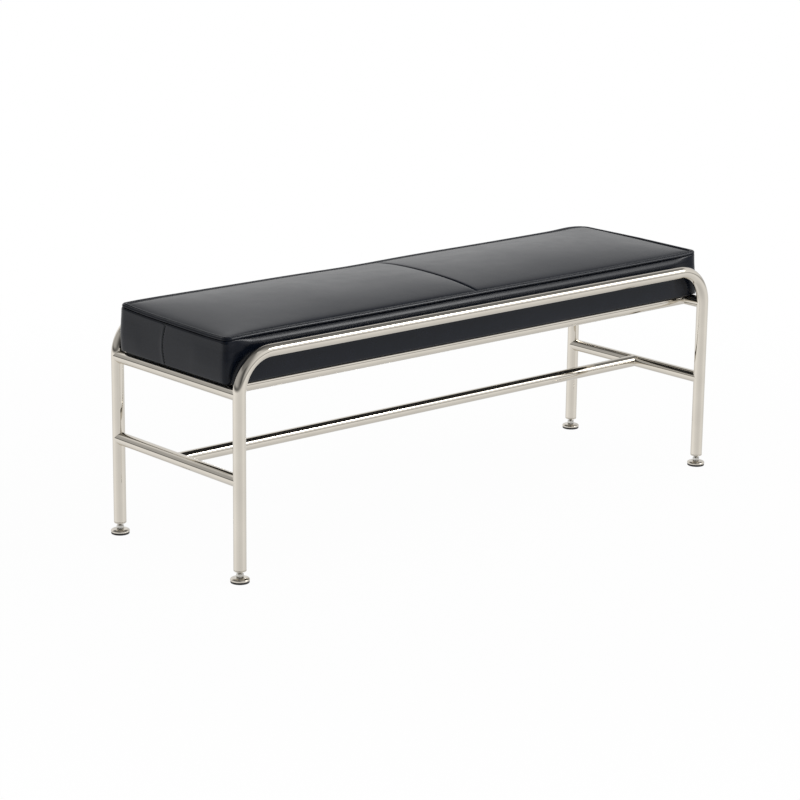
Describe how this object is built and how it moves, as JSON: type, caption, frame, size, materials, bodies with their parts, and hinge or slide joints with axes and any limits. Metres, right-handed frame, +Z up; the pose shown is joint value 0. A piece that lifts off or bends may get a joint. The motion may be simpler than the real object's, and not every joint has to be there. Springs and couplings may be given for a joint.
{
  "type": "bed bench",
  "caption": "Low bed bench: a bent-tube frame in bright nickel carries a boxed black leather cushion, and screw feet level it.",
  "frame": {"origin": "on the floor, below the middle of the seat", "axes": "+X along the bench's length, +Y towards its rear, +Z up"},
  "size_m": [1.3126, 0.4326, 0.4948],
  "materials": {
    "nickel": "bright nickel plate, slightly warm",
    "steel": "zinc-plated steel",
    "plastic": "moulded black plastic",
    "leather": "smooth black leather with a soft sheen",
    "foam": "upholstery foam",
    "wood": "raw plywood",
    "cloth": "thin black bottoming cloth"
  },
  "bodies": {
    "frame": {"front_hoop": "nickel", "rear_hoop": "nickel", "left_end_rail": "nickel", "right_end_rail": "nickel", "left_end_stretcher": "nickel", "right_end_stretcher": "nickel", "centre_stretcher": "nickel", "front_seat_rail": "nickel", "rear_seat_rail": "nickel", "front_left_leg_plug": "nickel", "front_right_leg_plug": "nickel", "rear_left_leg_plug": "nickel", "rear_right_leg_plug": "nickel", "left_top_panel": "leather", "right_top_panel": "leather", "front_boxing": "leather", "rear_boxing": "leather", "seat_foam": "foam", "seat_board": "wood", "dust_cover": "cloth", "front_seat_screw_1": "steel", "front_seat_screw_2": "steel", "front_seat_screw_3": "steel", "rear_seat_screw_1": "steel", "rear_seat_screw_2": "steel", "rear_seat_screw_3": "steel", "front_tee_nut_1": "steel", "front_tee_nut_2": "steel", "front_tee_nut_3": "steel", "rear_tee_nut_1": "steel", "rear_tee_nut_2": "steel", "rear_tee_nut_3": "steel"},
    "front_left_foot": {"front_left_foot_cap": "nickel", "front_left_foot_pad": "plastic"},
    "front_right_foot": {"front_right_foot_cap": "nickel", "front_right_foot_pad": "plastic"},
    "rear_left_foot": {"rear_left_foot_cap": "nickel", "rear_left_foot_pad": "plastic"},
    "rear_right_foot": {"rear_right_foot_cap": "nickel", "rear_right_foot_pad": "plastic"},
    "front_left_stud": {"front_left_foot_stud": "steel"},
    "front_right_stud": {"front_right_foot_stud": "steel"},
    "rear_left_stud": {"rear_left_foot_stud": "steel"},
    "rear_right_stud": {"rear_right_foot_stud": "steel"}
  },
  "joints": [
    {"name": "front_left_foot_travel", "type": "slide", "parent": "frame", "child": "front_left_foot", "axis": [0, 0, 1], "range_m": [-0.01, 0.00375]},
    {"name": "front_right_foot_travel", "type": "slide", "parent": "frame", "child": "front_right_foot", "axis": [0, 0, 1], "range_m": [-0.01, 0.00375]},
    {"name": "rear_left_foot_travel", "type": "slide", "parent": "frame", "child": "rear_left_foot", "axis": [0, 0, 1], "range_m": [-0.01, 0.00375]},
    {"name": "rear_right_foot_travel", "type": "slide", "parent": "frame", "child": "rear_right_foot", "axis": [0, 0, 1], "range_m": [-0.01, 0.00375]},
    {"name": "front_left_stud_turn", "type": "hinge", "parent": "front_left_foot", "child": "front_left_stud", "pos_m": [-0.6373, -0.1973, 0.014], "axis": [0, 0, 1], "range_deg": [-2881, 1081]},
    {"name": "front_right_stud_turn", "type": "hinge", "parent": "front_right_foot", "child": "front_right_stud", "pos_m": [0.6373, -0.1973, 0.014], "axis": [0, 0, 1], "range_deg": [-2881, 1081]},
    {"name": "rear_left_stud_turn", "type": "hinge", "parent": "rear_left_foot", "child": "rear_left_stud", "pos_m": [-0.6373, 0.1973, 0.014], "axis": [0, 0, 1], "range_deg": [-2881, 1081]},
    {"name": "rear_right_stud_turn", "type": "hinge", "parent": "rear_right_foot", "child": "rear_right_stud", "pos_m": [0.6373, 0.1973, 0.014], "axis": [0, 0, 1], "range_deg": [-2881, 1081]}
  ],
  "couplings": [
    {"joint": "front_left_stud_turn", "follows": "front_left_foot_travel", "rad_per_m": 5026.5},
    {"joint": "front_right_stud_turn", "follows": "front_right_foot_travel", "rad_per_m": 5026.5},
    {"joint": "rear_left_stud_turn", "follows": "rear_left_foot_travel", "rad_per_m": 5026.5},
    {"joint": "rear_right_stud_turn", "follows": "rear_right_foot_travel", "rad_per_m": 5026.5}
  ]
}
